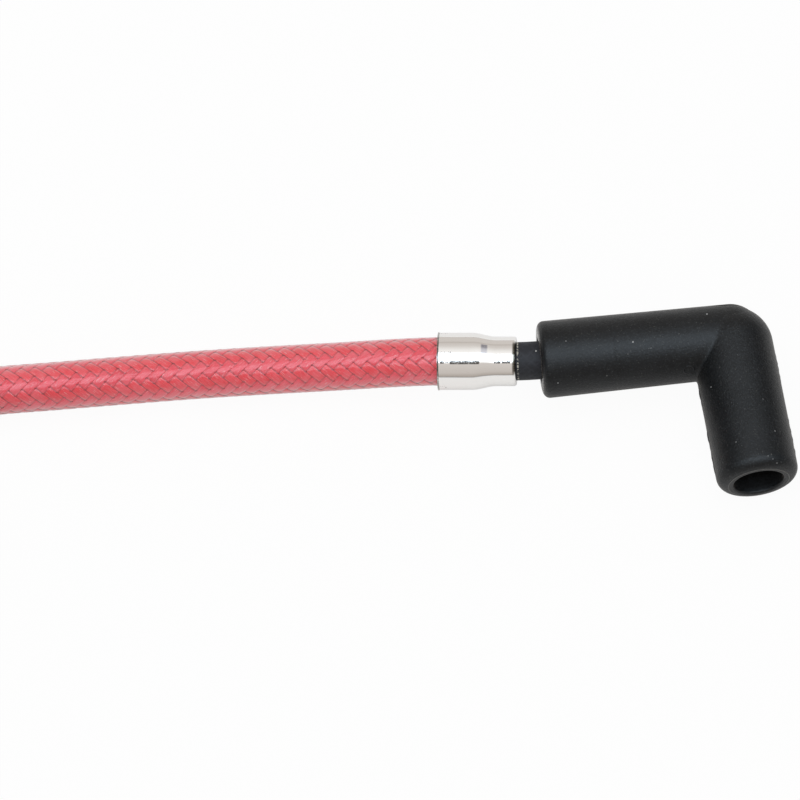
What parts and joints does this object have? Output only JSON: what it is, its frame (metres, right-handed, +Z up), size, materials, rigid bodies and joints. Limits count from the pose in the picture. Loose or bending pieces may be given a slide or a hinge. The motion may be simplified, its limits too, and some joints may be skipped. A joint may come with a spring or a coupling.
{
  "type": "spark plug wire",
  "caption": "Braided ignition lead with a right-angle plug boot, polished end ferrules and a straight coil boot, folded back on itself and tied for storage.",
  "frame": {"origin": "on the table, under the middle of the plug boot's outline seen from above", "axes": "+X along the boot away from the wire, -Y out of the plug boot's mouth, +Z up from the table"},
  "size_m": [0.3818, 0.0684, 0.0204],
  "materials": {
    "boot_rubber": "matte moulded rubber with fine dust",
    "stamped_steel": "tin-plated stamped steel",
    "spring_steel": "bright spring wire",
    "core_yarn": "conductive wound core",
    "wire_jacket": "satin black jacket with a faint weave under it",
    "red_braid": "fine wire braid under a clear red glossy coat",
    "polished_metal": "polished bright plating",
    "tie_plastic": "soft black tie"
  },
  "bodies": {
    "root": {"plug_boot": "boot_rubber", "plug_terminal": "stamped_steel", "plug_terminal_clip": "spring_steel", "conductor_core": "core_yarn", "ignition_wire": "wire_jacket", "braided_sleeve": "red_braid", "plug_end_ferrule": "polished_metal", "coil_end_ferrule": "polished_metal", "coil_boot": "boot_rubber", "coil_terminal": "stamped_steel", "coil_terminal_clip": "spring_steel", "hank_tie": "tie_plastic"}
  },
  "joints": []
}
